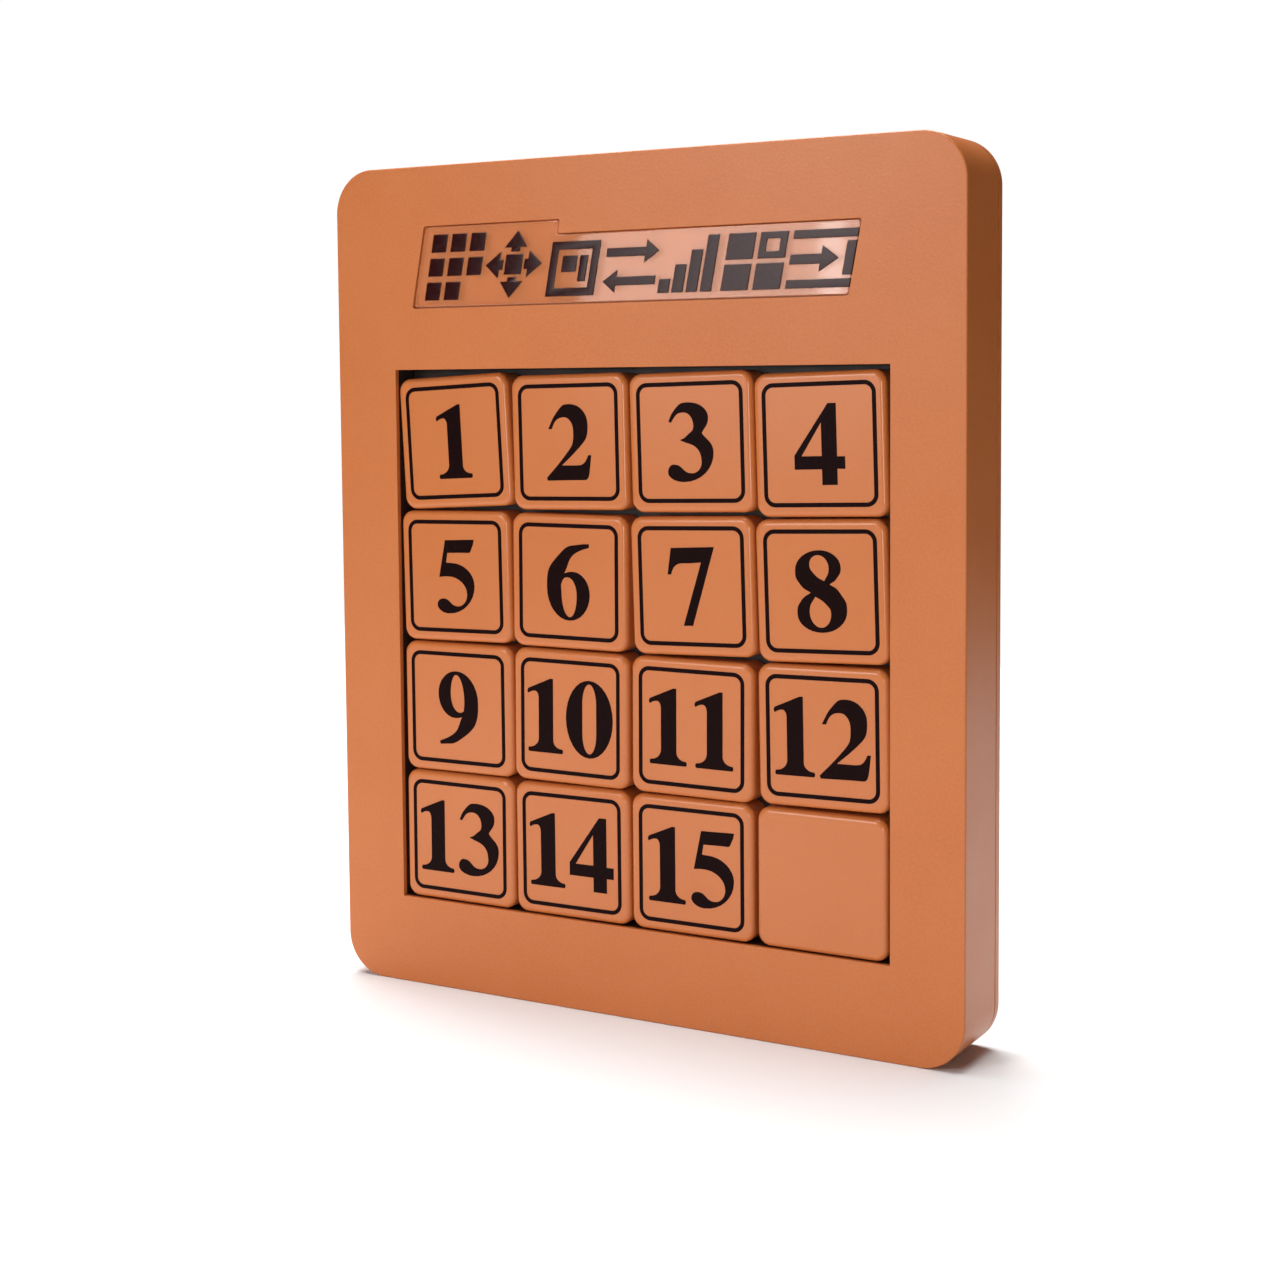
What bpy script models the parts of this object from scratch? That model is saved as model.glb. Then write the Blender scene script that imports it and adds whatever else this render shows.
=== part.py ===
# Sliding tile puzzle: a framed tray with sixteen loose tiles, standing on its bottom edge.
# +X runs to the right seen from the front, +Y to the back, +Z up. The origin is under the
# middle of the case, on the surface that it stands on.
import bpy
import bmesh
from math import cos, pi, radians, tan
from mathutils import Matrix

MM = 0.001

# Tiles
TILE_SIDE = 22.7 * MM
TILE_THICKNESS = 5.0 * MM
TILE_CORNER_RADIUS = 2.2 * MM
TILE_EDGE_BREAK = 0.7 * MM
TILE_WALL = 1.4 * MM
TILE_FACE = 1.6 * MM
TILE_GAP = 0.4 * MM
TILES_PER_SIDE = 4
BASE_THICKNESS = 1.2 * MM
MAGNET_RADIUS = 4.0 * MM
MAGNET_COLLAR_WALL = 1.0 * MM

# Tray
TRAY_PLAY = 1.2 * MM
TRAY_PLAY_BELOW = 0.25 * MM
TRAY_PLAY_RIGHT = 0.6 * MM
TILE_RECESS = 0.3 * MM
FLOOR_THICKNESS = 1.0 * MM
PLATE_THICKNESS = 1.2 * MM
SLEEVE_SEAT = 1.5 * MM
SLEEVE_WALL = 1.2 * MM

# Case
SIDE_BORDER = 12.4 * MM
BOTTOM_BORDER = 15.4 * MM
TITLE_BAND = 34.9 * MM
BODY_DEPTH = 15.0 * MM
BODY_CORNER_RADIUS = 7.5 * MM
BODY_EDGE_BREAK = 0.3 * MM
SIDE_WALL = 2.2 * MM
BEZEL_FACE = 2.5 * MM

# Back cover
COVER_THICKNESS = 1.8 * MM
COVER_LIP_WALL = 1.2 * MM
COVER_LIP_HEIGHT = 1.6 * MM
RIB_WALL = 1.2 * MM
RIB_FRAME_INSET = 12.8 * MM

# Screws and their bosses
SCREW_RADIUS = 1.2 * MM
SCREW_LENGTH = 6.5 * MM
SCREW_HEAD_RADIUS = 2.4 * MM
SCREW_HEAD_HEIGHT = 1.4 * MM
CROSS_SLOT_WIDTH = 0.7 * MM
CROSS_SLOT_LENGTH = 2.6 * MM
CROSS_SLOT_DEPTH = 0.8 * MM
SCREW_SIDES = 16
SCREW_HEAD_RECESS = 0.3 * MM
PAD_WALL = 0.8 * MM
PAD_PAST_LIP = 0.4 * MM
PILOT_TIP_CLEARANCE = 0.8 * MM

# Title plaque
PLAQUE_WIDTH = 82.0 * MM
PLAQUE_TALL_WIDTH = 27.2 * MM
PLAQUE_TALL_HEIGHT = 13.65 * MM
PLAQUE_LOW_HEIGHT = 11.3 * MM
PLAQUE_SLANT = radians(10.9)
PLAQUE_SHIFT_X = -1.5 * MM
PLAQUE_ABOVE_WINDOW = 10.75 * MM
PLAQUE_THICKNESS = 1.0 * MM
PLAQUE_RECESS = 0.2 * MM
PLAQUE_CLEARANCE = 0.2 * MM
PLAQUE_CORNER_RADIUS = 0.5 * MM

# Gap between pieces that touch, and how far a cutter runs past a surface
FIT_GAP = 0.3 * MM
CUT_OVER = 1.0 * MM

# How each tile has settled in its cell: turn in degrees seen from the front, then shift right and up
TILE_SETTLING = {
    "01": (3.0, 0.10, -0.15),
    "02": (1.0, 0.15, -0.05),
    "03": (1.4, 0.15, 0.10),
    "04": (1.6, -0.05, -0.05),
    "05": (0.9, -0.05, -0.35),
    "06": (-0.2, -0.15, -0.35),
    "07": (1.5, 0.25, -0.10),
    "08": (1.7, 0.15, 0.05),
    "09": (0.2, 0.10, -0.30),
    "10": (-0.4, -0.10, -0.25),
    "11": (-0.3, 0.0, -0.30),
    "12": (0.8, 0.35, 0.05),
    "13": (-0.1, 0.05, -0.10),
    "14": (0.2, -0.05, -0.10),
    "15": (0.1, -0.15, -0.10),
    "blank": (0.0, 0.10, -0.10),
}

# Sizes that follow from the ones above
TILE_PITCH = TILE_SIDE + TILE_GAP
WINDOW_SIDE = TILES_PER_SIDE * TILE_SIDE + (TILES_PER_SIDE - 1) * TILE_GAP + TRAY_PLAY
BODY_WIDTH = WINDOW_SIDE + 2 * SIDE_BORDER
BODY_HEIGHT = BOTTOM_BORDER + WINDOW_SIDE + TITLE_BAND
WINDOW_CENTRE_Z = BOTTOM_BORDER + WINDOW_SIDE / 2
WINDOW_TOP = BOTTOM_BORDER + WINDOW_SIDE

FRONT_Y = -BODY_DEPTH / 2
BACK_Y = BODY_DEPTH / 2
COVER_FRONT_Y = BACK_Y - COVER_THICKNESS
HOUSING_BACK_Y = COVER_FRONT_Y - FIT_GAP
TILE_FRONT_Y = FRONT_Y + TILE_RECESS
FLOOR_FRONT_Y = TILE_FRONT_Y + TILE_THICKNESS + FIT_GAP
FLOOR_BACK_Y = FLOOR_FRONT_Y + FLOOR_THICKNESS
PLATE_FRONT_Y = FLOOR_BACK_Y + FIT_GAP
PLATE_BACK_Y = PLATE_FRONT_Y + PLATE_THICKNESS
SEAT_Y = FLOOR_FRONT_Y - FIT_GAP

SEAT_SIDE = WINDOW_SIDE + 2 * SLEEVE_SEAT
SLEEVE_SIDE = SEAT_SIDE + 2 * SLEEVE_WALL
FLOOR_SIDE = SEAT_SIDE - 2 * FIT_GAP

RIB_FRAME_SIDE = FLOOR_SIDE - 2 * RIB_FRAME_INSET

PAD_HEIGHT = COVER_LIP_HEIGHT + PAD_PAST_LIP
PAD_RADIUS = SCREW_HEAD_RADIUS + FIT_GAP + PAD_WALL
BOSS_BACK_Y = COVER_FRONT_Y - PAD_HEIGHT - FIT_GAP
HEAD_BACK_Y = BACK_Y - SCREW_HEAD_RECESS
HEAD_POCKET_Y = HEAD_BACK_Y - SCREW_HEAD_HEIGHT - FIT_GAP
SCREW_TIP_Y = HEAD_BACK_Y - SCREW_HEAD_HEIGHT - SCREW_LENGTH
SCREW_COLUMN_X = (SLEEVE_SIDE / 2 + BODY_WIDTH / 2 - SIDE_WALL) / 2
SCREW_PLACES = [
    (side * SCREW_COLUMN_X, height)
    for height in (BOTTOM_BORDER / 2, WINDOW_CENTRE_Z, BODY_HEIGHT - BOTTOM_BORDER / 2)
    for side in (-1, 1)
]

CAVITY_SIDE = TILE_SIDE - 2 * TILE_WALL
MAGNET_THICKNESS = TILE_THICKNESS - TILE_FACE - BASE_THICKNESS - 2 * FIT_GAP
COLLAR_INNER_RADIUS = MAGNET_RADIUS + FIT_GAP
COLLAR_HEIGHT = TILE_THICKNESS - TILE_FACE - BASE_THICKNESS - FIT_GAP
POCKET_DEPTH = PLAQUE_RECESS + PLAQUE_THICKNESS + FIT_GAP


def clear_scene():
    for item in list(bpy.data.objects):
        bpy.data.objects.remove(item, do_unlink=True)


def add_collection(name):
    collection = bpy.data.collections.new(name)
    bpy.context.scene.collection.children.link(collection)
    return collection


def plastic(name, colour, roughness, metallic=0.0, alpha=1.0):
    material = bpy.data.materials.new(name)
    material.use_nodes = True
    shader = material.node_tree.nodes["Principled BSDF"]
    shader.inputs["Base Color"].default_value = (*colour, 1.0)
    shader.inputs["Roughness"].default_value = roughness
    shader.inputs["Metallic"].default_value = metallic
    shader.inputs["Alpha"].default_value = alpha
    return material


def add_object(name, mesh, collection, material=None):
    item = bpy.data.objects.new(name, mesh)
    collection.objects.link(item)
    if material:
        mesh.materials.clear()
        mesh.materials.append(material)
    return item


def add_cutter(name, mesh, collection, place=(0, 0, 0)):
    item = add_object(name, mesh, collection)
    item.location = place
    item.hide_render = True
    item.display_type = "WIRE"
    return item


def boolean(item, other, operation):
    modifier = item.modifiers.new(operation.title() + " " + other.name, "BOOLEAN")
    modifier.operation = operation
    modifier.solver = "EXACT"
    modifier.object = other


def bake(item):
    """Replace the object's mesh with the result of its modifiers."""
    bpy.context.view_layer.update()
    graph = bpy.context.evaluated_depsgraph_get()
    mesh = bpy.data.meshes.new_from_object(item.evaluated_get(graph))
    item.modifiers.clear()
    item.data = mesh
    return mesh


def edges_along_depth(shape):
    return [e for e in shape.edges if abs((e.verts[0].co - e.verts[1].co).normalized().y) > 0.99]


def block(name, width, depth, height, corner=0.0, corner_steps=3, edge_break=0.0, edge_steps=1):
    """A box with its front face at y = 0, rounded down its depth and broken round its front edge."""
    shape = bmesh.new()
    bmesh.ops.create_cube(shape, size=1.0)
    bmesh.ops.scale(shape, vec=(width, depth, height), verts=shape.verts)
    bmesh.ops.translate(shape, vec=(0, depth / 2, 0), verts=shape.verts)
    if corner > 0:
        bmesh.ops.bevel(shape, geom=edges_along_depth(shape), offset=corner, segments=corner_steps,
                        profile=0.5, affect="EDGES", clamp_overlap=True)
    if edge_break > 0:
        rim = [e for e in shape.edges if all(v.co.y < depth * 0.001 for v in e.verts)]
        bmesh.ops.bevel(shape, geom=rim, offset=edge_break, segments=edge_steps,
                        profile=0.5, affect="EDGES", clamp_overlap=True)
    mesh = bpy.data.meshes.new(name)
    shape.to_mesh(mesh)
    shape.free()
    return mesh


def disc(name, radius, depth, sides=16):
    """A cylinder along +Y with its front face at y = 0."""
    shape = bmesh.new()
    bmesh.ops.create_cone(shape, cap_ends=True, segments=sides, radius1=radius, radius2=radius, depth=depth)
    bmesh.ops.rotate(shape, cent=(0, 0, 0), matrix=Matrix.Rotation(pi / 2, 3, "X"), verts=shape.verts)
    bmesh.ops.translate(shape, vec=(0, depth / 2, 0), verts=shape.verts)
    mesh = bpy.data.meshes.new(name)
    shape.to_mesh(mesh)
    shape.free()
    return mesh


def plaque_outline(grow):
    """Corners of the stepped, slanted plaque from its bottom left, moved out by grow."""
    lean = tan(PLAQUE_SLANT)
    side = grow / cos(PLAQUE_SLANT)
    left = -PLAQUE_WIDTH / 2 - side
    right = PLAQUE_WIDTH / 2 + side
    step = -PLAQUE_WIDTH / 2 + PLAQUE_TALL_WIDTH + side
    heights = {"bottom": -grow, "low": PLAQUE_LOW_HEIGHT + grow, "tall": PLAQUE_TALL_HEIGHT + grow}
    corners = [(left, "bottom"), (right, "bottom"), (right, "low"), (step, "low"), (step, "tall"), (left, "tall")]
    return [(x + lean * heights[level], heights[level]) for x, level in corners]


def plaque_plate(name, grow, depth, guides):
    """The plaque's outline as a plate with its front face at y = 0."""
    curve = bpy.data.curves.new(name, "CURVE")
    curve.dimensions = "2D"
    curve.fill_mode = "BOTH"
    curve.extrude = depth / 2
    points = plaque_outline(grow)
    spline = curve.splines.new("POLY")
    spline.points.add(len(points) - 1)
    for point, (x, z) in zip(spline.points, points):
        point.co = (x, z, 0, 1)
    spline.use_cyclic_u = True
    guide = add_cutter(name + "_outline", curve, guides)
    bpy.context.view_layer.update()
    mesh = bpy.data.meshes.new_from_object(guide.evaluated_get(bpy.context.evaluated_depsgraph_get()))
    bpy.data.objects.remove(guide, do_unlink=True)
    shape = bmesh.new()
    shape.from_mesh(mesh)
    bmesh.ops.remove_doubles(shape, verts=shape.verts, dist=0.00001)
    # Stand the flat outline up, so that its thickness runs along the depth
    bmesh.ops.rotate(shape, cent=(0, 0, 0), matrix=Matrix.Rotation(pi / 2, 3, "X"), verts=shape.verts)
    bmesh.ops.translate(shape, vec=(0, depth / 2, 0), verts=shape.verts)
    bmesh.ops.bevel(shape, geom=edges_along_depth(shape), offset=PLAQUE_CORNER_RADIUS, segments=2,
                    profile=0.5, affect="EDGES", clamp_overlap=True)
    bmesh.ops.recalc_face_normals(shape, faces=shape.faces)
    shape.to_mesh(mesh)
    shape.free()
    mesh.name = name
    return mesh


def plaque_place(depth_y):
    return (PLAQUE_SHIFT_X, depth_y, WINDOW_TOP + PLAQUE_ABOVE_WINDOW)


def front_housing(parts, cutters, material):
    """Bezel, side walls, window sleeve with a seat for the tray, and screw bosses in one moulding."""
    housing = add_object("front_housing", block(
        "front_housing", BODY_WIDTH, HOUSING_BACK_Y - FRONT_Y, BODY_HEIGHT,
        BODY_CORNER_RADIUS, 6, BODY_EDGE_BREAK), parts, material)
    housing.location = (0, FRONT_Y, BODY_HEIGHT / 2)

    hollow_y = FRONT_Y + BEZEL_FACE
    hollow = block("housing_hollow", BODY_WIDTH - 2 * SIDE_WALL, HOUSING_BACK_Y - hollow_y + CUT_OVER,
                   BODY_HEIGHT - 2 * SIDE_WALL, BODY_CORNER_RADIUS - SIDE_WALL, 6)
    boolean(housing, add_cutter("housing_hollow", hollow, cutters, (0, hollow_y, BODY_HEIGHT / 2)), "DIFFERENCE")

    root_y = FRONT_Y + BEZEL_FACE / 2
    sleeve = block("window_sleeve", SLEEVE_SIDE, PLATE_BACK_Y - root_y, SLEEVE_SIDE)
    boolean(housing, add_cutter("window_sleeve", sleeve, cutters, (0, root_y, WINDOW_CENTRE_Z)), "UNION")

    pilot_y = SCREW_TIP_Y - PILOT_TIP_CLEARANCE
    for number, (x, z) in enumerate(SCREW_PLACES, 1):
        boss = disc(f"boss_{number}", PAD_RADIUS, BOSS_BACK_Y - root_y, 12)
        boolean(housing, add_cutter(f"boss_{number}", boss, cutters, (x, root_y, z)), "UNION")
        pilot = disc(f"pilot_{number}", SCREW_RADIUS + FIT_GAP / 2, BOSS_BACK_Y - pilot_y + CUT_OVER, 12)
        boolean(housing, add_cutter(f"pilot_{number}", pilot, cutters, (x, pilot_y, z)), "DIFFERENCE")

    window = block("tray_window", WINDOW_SIDE, BODY_DEPTH + CUT_OVER, WINDOW_SIDE)
    boolean(housing, add_cutter("tray_window", window, cutters, (0, FRONT_Y - CUT_OVER, WINDOW_CENTRE_Z)),
            "DIFFERENCE")
    seat = block("tray_seat", SEAT_SIDE, BODY_DEPTH, SEAT_SIDE)
    boolean(housing, add_cutter("tray_seat", seat, cutters, (0, SEAT_Y, WINDOW_CENTRE_Z)), "DIFFERENCE")

    pocket = plaque_plate("plaque_pocket", PLAQUE_CLEARANCE, POCKET_DEPTH + CUT_OVER, cutters)
    boolean(housing, add_cutter("plaque_pocket", pocket, cutters, plaque_place(FRONT_Y - CUT_OVER)),
            "DIFFERENCE")
    bake(housing)


def title_plaque(parts, cutters, material):
    mesh = plaque_plate("title_plaque", 0.0, PLAQUE_THICKNESS, cutters)
    plaque = add_object("title_plaque", mesh, parts, material)
    plaque.location = plaque_place(FRONT_Y + PLAQUE_RECESS)


def sheet(name, front_y, thickness, parts, material):
    """A square sheet that lies in the sleeve's seat behind the tiles."""
    item = add_object(name, block(name, FLOOR_SIDE, thickness, FLOOR_SIDE, FIT_GAP, 1), parts, material)
    item.location = (0, front_y, WINDOW_CENTRE_Z)


def back_cover(parts, cutters, material):
    """Flat cover with an aligning lip, screw pads and a rib frame that presses on the steel plate."""
    cover = add_object("back_cover", block(
        "back_cover", BODY_WIDTH, COVER_THICKNESS, BODY_HEIGHT, BODY_CORNER_RADIUS, 6), parts, material)
    cover.location = (0, COVER_FRONT_Y, BODY_HEIGHT / 2)
    middle = COVER_FRONT_Y + COVER_THICKNESS / 2

    def ring(name, width, height, corner, wall, front_y, centre_z):
        outer = block(name, width, middle - front_y, height, corner, 3)
        tool = add_cutter(name, outer, cutters, (0, front_y, centre_z))
        inner = block(name + "_inside", width - 2 * wall, BODY_DEPTH, height - 2 * wall,
                      max(corner - wall, 0), 3)
        boolean(tool, add_cutter(name + "_inside", inner, cutters, (0, front_y - CUT_OVER, centre_z)), "DIFFERENCE")
        boolean(cover, tool, "UNION")

    inset = SIDE_WALL + FIT_GAP
    lip = (BODY_WIDTH - 2 * inset, BODY_HEIGHT - 2 * inset, BODY_CORNER_RADIUS - inset)
    ring("cover_lip", *lip, COVER_LIP_WALL, COVER_FRONT_Y - COVER_LIP_HEIGHT, BODY_HEIGHT / 2)
    rib_y = PLATE_BACK_Y + FIT_GAP
    ring("rib_frame", RIB_FRAME_SIDE, RIB_FRAME_SIDE, 0, RIB_WALL, rib_y, WINDOW_CENTRE_Z)
    cross = block("rib_bar", RIB_FRAME_SIDE - RIB_WALL, middle - rib_y, RIB_WALL)
    boolean(cover, add_cutter("rib_bar", cross, cutters, (0, rib_y, WINDOW_CENTRE_Z)), "UNION")

    # The pads are trimmed where they would run past the lip into the side wall
    pad_y = COVER_FRONT_Y - PAD_HEIGHT
    room = block("lip_outline", lip[0], BODY_DEPTH, lip[1], lip[2], 3)
    room = add_cutter("lip_outline", room, cutters, (0, FRONT_Y, BODY_HEIGHT / 2))
    for number, (x, z) in enumerate(SCREW_PLACES, 1):
        pad = add_cutter(f"pad_{number}", disc(f"pad_{number}", PAD_RADIUS, middle - pad_y, 12), cutters,
                         (x, pad_y, z))
        boolean(pad, room, "INTERSECT")
        boolean(cover, pad, "UNION")
        hole = disc(f"screw_hole_{number}", SCREW_RADIUS + FIT_GAP, BODY_DEPTH, 12)
        boolean(cover, add_cutter(f"screw_hole_{number}", hole, cutters, (x, pad_y - CUT_OVER, z)), "DIFFERENCE")
        head = disc(f"head_pocket_{number}", SCREW_HEAD_RADIUS + FIT_GAP, BODY_DEPTH, 16)
        boolean(cover, add_cutter(f"head_pocket_{number}", head, cutters, (x, HEAD_POCKET_Y, z)), "DIFFERENCE")
    bake(cover)


def screw_mesh(cutters):
    """Pan-head screw along Y with a cross recess; the back of its head is at y = 0."""
    rounding = SCREW_HEAD_HEIGHT * 0.35
    outline = [
        (0, 0),
        (SCREW_HEAD_RADIUS * 0.8, 0),
        (SCREW_HEAD_RADIUS, -rounding),
        (SCREW_HEAD_RADIUS, -SCREW_HEAD_HEIGHT),
        (SCREW_RADIUS, -SCREW_HEAD_HEIGHT),
        (SCREW_RADIUS, -SCREW_HEAD_HEIGHT - SCREW_LENGTH + SCREW_RADIUS),
        (0, -SCREW_HEAD_HEIGHT - SCREW_LENGTH),
    ]
    profile = bpy.data.meshes.new("screw_profile")
    corners = [(radius, 0, height) for radius, height in outline]
    profile.from_pydata(corners, [(i, i + 1) for i in range(len(corners) - 1)], [])
    pattern = add_cutter("screw_pattern", profile, cutters)
    turned = pattern.modifiers.new("Turn", "SCREW")
    turned.steps = SCREW_SIDES
    turned.render_steps = SCREW_SIDES
    turned.use_merge_vertices = True
    turned.merge_threshold = 0.00001
    for turn in (0, 90):
        slot = block(f"cross_slot_{turn}", CROSS_SLOT_LENGTH, CROSS_SLOT_WIDTH, CROSS_SLOT_DEPTH + CUT_OVER)
        slot.transform(Matrix.Translation((0, -CROSS_SLOT_WIDTH / 2, 0)))
        height = (CUT_OVER - CROSS_SLOT_DEPTH) / 2
        tool = add_cutter(f"cross_slot_{turn}", slot, cutters, (0, 0, height))
        tool.rotation_euler.z = radians(turn)
        boolean(pattern, tool, "DIFFERENCE")
    mesh = bake(pattern)
    # The screw was turned about Z: lay it down so that its head faces the back
    mesh.transform(Matrix.Rotation(-pi / 2, 4, "X"))
    return mesh


def cap_mesh(cutters):
    """Tile cap: a rounded square, hollow from behind, with a collar round the magnet."""
    outer = block("tile_cap", TILE_SIDE, TILE_THICKNESS, TILE_SIDE, TILE_CORNER_RADIUS, 3, TILE_EDGE_BREAK)
    pattern = add_cutter("cap_pattern", outer, cutters)
    inner_corner = max(TILE_CORNER_RADIUS - TILE_WALL, 0)
    cavity = block("cap_cavity", CAVITY_SIDE, TILE_THICKNESS, CAVITY_SIDE, inner_corner, 1)
    boolean(pattern, add_cutter("cap_cavity", cavity, cutters, (0, TILE_FACE, 0)), "DIFFERENCE")
    collar = disc("magnet_collar", COLLAR_INNER_RADIUS + MAGNET_COLLAR_WALL,
                  TILE_FACE / 2 + COLLAR_HEIGHT, 12)
    boolean(pattern, add_cutter("magnet_collar", collar, cutters, (0, TILE_FACE / 2, 0)), "UNION")
    bore = disc("collar_bore", COLLAR_INNER_RADIUS, TILE_THICKNESS, 12)
    boolean(pattern, add_cutter("collar_bore", bore, cutters, (0, TILE_FACE, 0)), "DIFFERENCE")
    return bake(pattern)


def tiles(parts, cutters, materials):
    """Sixteen tiles: each an empty on its cell's centre that carries a cap, a magnet and a base."""
    cap = cap_mesh(cutters)
    base_side = CAVITY_SIDE - 2 * FIT_GAP
    base = block("tile_base", base_side, BASE_THICKNESS, base_side, FIT_GAP, 1)
    magnet = disc("tile_magnet", MAGNET_RADIUS, MAGNET_THICKNESS, 16)
    layers = [
        ("cap", cap, 0.0, materials["tile"]),
        ("magnet", magnet, TILE_FACE + FIT_GAP, materials["magnet"]),
        ("base", base, TILE_THICKNESS - BASE_THICKNESS, materials["base"]),
    ]
    for _, mesh, _, material in layers:
        mesh.materials.clear()
        mesh.materials.append(material)
    first_x = WINDOW_SIDE / 2 - TRAY_PLAY_RIGHT - TILE_SIDE / 2 - (TILES_PER_SIDE - 1) * TILE_PITCH
    first_z = BOTTOM_BORDER + TRAY_PLAY_BELOW + TILE_SIDE / 2 + (TILES_PER_SIDE - 1) * TILE_PITCH
    for index, (label, (turn, right, up)) in enumerate(TILE_SETTLING.items()):
        row, column = divmod(index, TILES_PER_SIDE)
        centre = bpy.data.objects.new(f"tile_{label}", None)
        parts.objects.link(centre)
        centre.empty_display_size = TILE_SIDE / 2
        centre.location = (first_x + column * TILE_PITCH + right * MM, TILE_FRONT_Y,
                           first_z - row * TILE_PITCH + up * MM)
        # A turn to the left seen from the front is a negative turn about +Y
        centre.rotation_euler.y = -radians(turn)
        for layer, mesh, depth, _ in layers:
            piece = add_object(f"tile_{label}_{layer}", mesh, parts)
            piece.location.y = depth
            piece.parent = centre


def shade(parts):
    """Round surfaces are smooth and every edge sharper than the facets of a curve stays crisp."""
    for mesh in {item.data for item in parts.objects if item.type == "MESH"}:
        mesh.shade_smooth()
        mesh.set_sharp_from_angle(angle=radians(35))


def main():
    clear_scene()
    parts = add_collection("sliding_tile_puzzle")
    cutters = add_collection("cutters")
    materials = {
        "housing": plastic("housing_orange", (0.60, 0.21, 0.075), 0.55),
        "tile": plastic("tile_orange", (0.62, 0.24, 0.10), 0.38),
        "base": plastic("tile_base_orange", (0.55, 0.20, 0.08), 0.5),
        "floor": plastic("tray_floor_dark", (0.05, 0.03, 0.025), 0.5),
        "steel": plastic("plate_steel", (0.55, 0.55, 0.56), 0.35, 1.0),
        "screw": plastic("screw_steel", (0.30, 0.30, 0.31), 0.35, 1.0),
        "magnet": plastic("magnet_nickel", (0.65, 0.64, 0.62), 0.25, 1.0),
        "plaque": plastic("plaque_clear", (0.80, 0.45, 0.28), 0.05, 0.0, 0.4),
    }
    front_housing(parts, cutters, materials["housing"])
    title_plaque(parts, cutters, materials["plaque"])
    sheet("tray_floor", FLOOR_FRONT_Y, FLOOR_THICKNESS, parts, materials["floor"])
    sheet("steel_plate", PLATE_FRONT_Y, PLATE_THICKNESS, parts, materials["steel"])
    back_cover(parts, cutters, materials["housing"])
    screw = screw_mesh(cutters)
    for number, (x, z) in enumerate(SCREW_PLACES, 1):
        item = add_object(f"cover_screw_{number}", screw, parts, materials["screw"])
        item.location = (x, HEAD_BACK_Y, z)
    tiles(parts, cutters, materials)
    shade(parts)


main()
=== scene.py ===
from math import atan2, cos, pi, radians, tan

import bmesh
import bpy
from mathutils import Matrix, Vector


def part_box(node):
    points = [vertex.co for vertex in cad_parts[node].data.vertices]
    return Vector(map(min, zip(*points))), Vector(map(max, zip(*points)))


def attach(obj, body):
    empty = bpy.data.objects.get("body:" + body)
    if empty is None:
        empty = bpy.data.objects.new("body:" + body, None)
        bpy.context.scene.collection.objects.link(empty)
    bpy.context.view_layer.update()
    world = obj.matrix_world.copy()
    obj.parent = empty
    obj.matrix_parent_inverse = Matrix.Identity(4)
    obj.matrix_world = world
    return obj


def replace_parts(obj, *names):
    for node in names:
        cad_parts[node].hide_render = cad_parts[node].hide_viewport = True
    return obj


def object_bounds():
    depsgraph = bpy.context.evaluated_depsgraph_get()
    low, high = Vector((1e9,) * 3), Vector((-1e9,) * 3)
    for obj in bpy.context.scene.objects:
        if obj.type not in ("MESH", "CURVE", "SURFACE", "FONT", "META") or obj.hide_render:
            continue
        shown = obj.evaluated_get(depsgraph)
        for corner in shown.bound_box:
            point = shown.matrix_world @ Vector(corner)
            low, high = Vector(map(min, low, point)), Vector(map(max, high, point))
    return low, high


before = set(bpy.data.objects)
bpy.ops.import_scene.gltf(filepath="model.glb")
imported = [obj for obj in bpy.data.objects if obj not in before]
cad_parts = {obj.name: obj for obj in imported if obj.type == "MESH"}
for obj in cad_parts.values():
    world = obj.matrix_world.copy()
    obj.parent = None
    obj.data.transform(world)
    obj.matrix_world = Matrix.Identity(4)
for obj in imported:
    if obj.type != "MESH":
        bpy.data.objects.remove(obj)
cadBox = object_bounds()
mm = 0.001
fitGap = 0.3 * mm     # left between pieces that only touch
overcut = 1.0 * mm    # how far a cutter runs past a surface
flush = 0.01 * mm     # nearer than this counts as level with a surface
bodyWeld, curveWeld = 0.001 * mm, 0.002 * mm    # points nearer than this are joined
handleReach, leastHandle = 0.55, 0.12           # how far a curve's handles reach, in chords


def meshFrom(name, shape):
    mesh = bpy.data.meshes.new(name)
    shape.to_mesh(mesh)
    shape.free()
    return mesh


def edgesAlongDepth(shape):
    return [e for e in shape.edges if abs((e.verts[0].co - e.verts[1].co).normalized().y) > 0.99]


def rounded(shape, edges, radius, steps):
    bmesh.ops.bevel(shape, geom=edges, offset=radius, segments=steps, profile=0.5,
                    affect="EDGES", clamp_overlap=True)


def roundedBlock(name, low, high, corner=0, cornerSteps=10, edge=0, edgeSteps=3):
    # a box between two corners, rounded down its depth and round its front edge
    low, high = Vector(low), Vector(high)
    shape = bmesh.new()
    bmesh.ops.create_cube(shape, size=1)
    bmesh.ops.scale(shape, vec=high - low, verts=shape.verts)
    bmesh.ops.translate(shape, vec=(low + high) / 2, verts=shape.verts)
    if corner:
        rounded(shape, edgesAlongDepth(shape), corner, cornerSteps)
    if edge:
        rim = [e for e in shape.edges if all(v.co.y < low.y + flush for v in e.verts)]
        rounded(shape, rim, edge, edgeSteps)
    return meshFrom(name, shape)


def turnedPost(name, x, z, radius, front, back, sides=32):
    shape = bmesh.new()
    bmesh.ops.create_cone(shape, cap_ends=True, segments=sides, radius1=radius, radius2=radius,
                          depth=back - front)
    bmesh.ops.rotate(shape, cent=(0, 0, 0), matrix=Matrix.Rotation(pi / 2, 3, "X"), verts=shape.verts)
    bmesh.ops.translate(shape, vec=(x, (front + back) / 2, z), verts=shape.verts)
    return meshFrom(name, shape)


def coat(piece, material):
    piece.data.materials.clear()
    piece.data.materials.append(material)


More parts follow.
